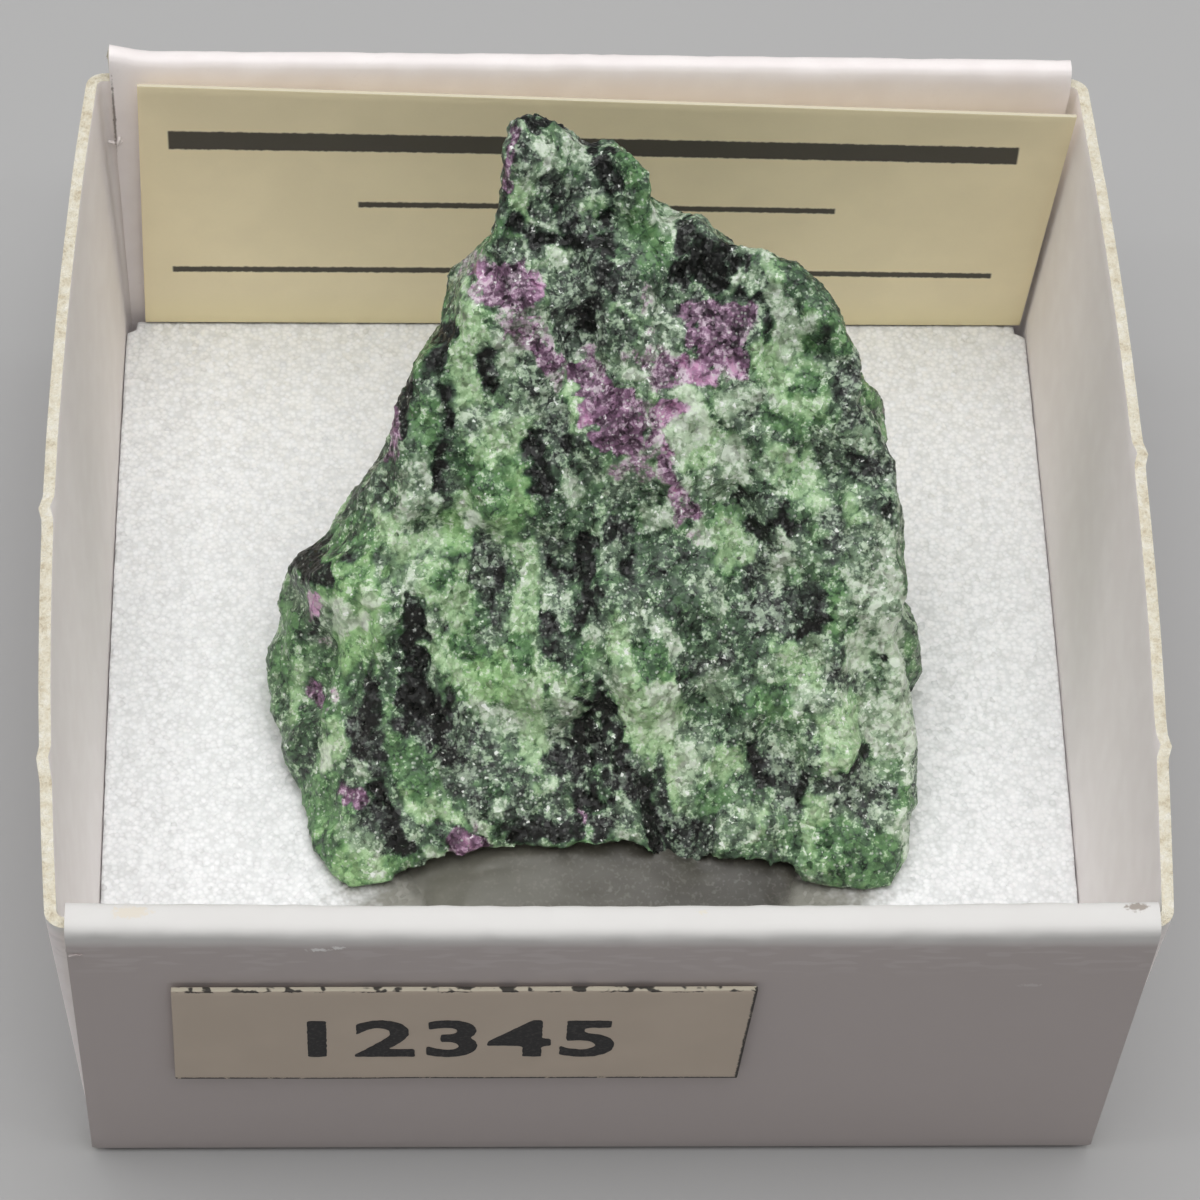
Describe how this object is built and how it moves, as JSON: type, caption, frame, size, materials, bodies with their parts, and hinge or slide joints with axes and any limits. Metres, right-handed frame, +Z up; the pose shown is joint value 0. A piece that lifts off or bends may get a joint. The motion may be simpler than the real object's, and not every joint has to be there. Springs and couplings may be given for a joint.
{
  "type": "boxed mineral specimen",
  "caption": "Rough ruby in zoisite glued on a foam pad in a small open white card box, with a name card behind it and a number label on the front.",
  "frame": {"origin": "middle of the box's underside, on the surface it stands on", "axes": "+X to the viewer's right along the front wall, +Y from the front wall to the back wall, +Z up"},
  "size_m": [0.0427, 0.0423, 0.0255],
  "materials": {
    "zoisite": "rough broken",
    "white_card": "matt",
    "white_foam": "granular",
    "glue": "clear, hardened",
    "cream_card": "matt, printed"
  },
  "bodies": {
    "root": {"card_tray": "white_card", "foam_pad": "white_foam", "stone": "zoisite", "glue": "glue", "name_label": "cream_card", "number_label": "cream_card"}
  },
  "joints": []
}
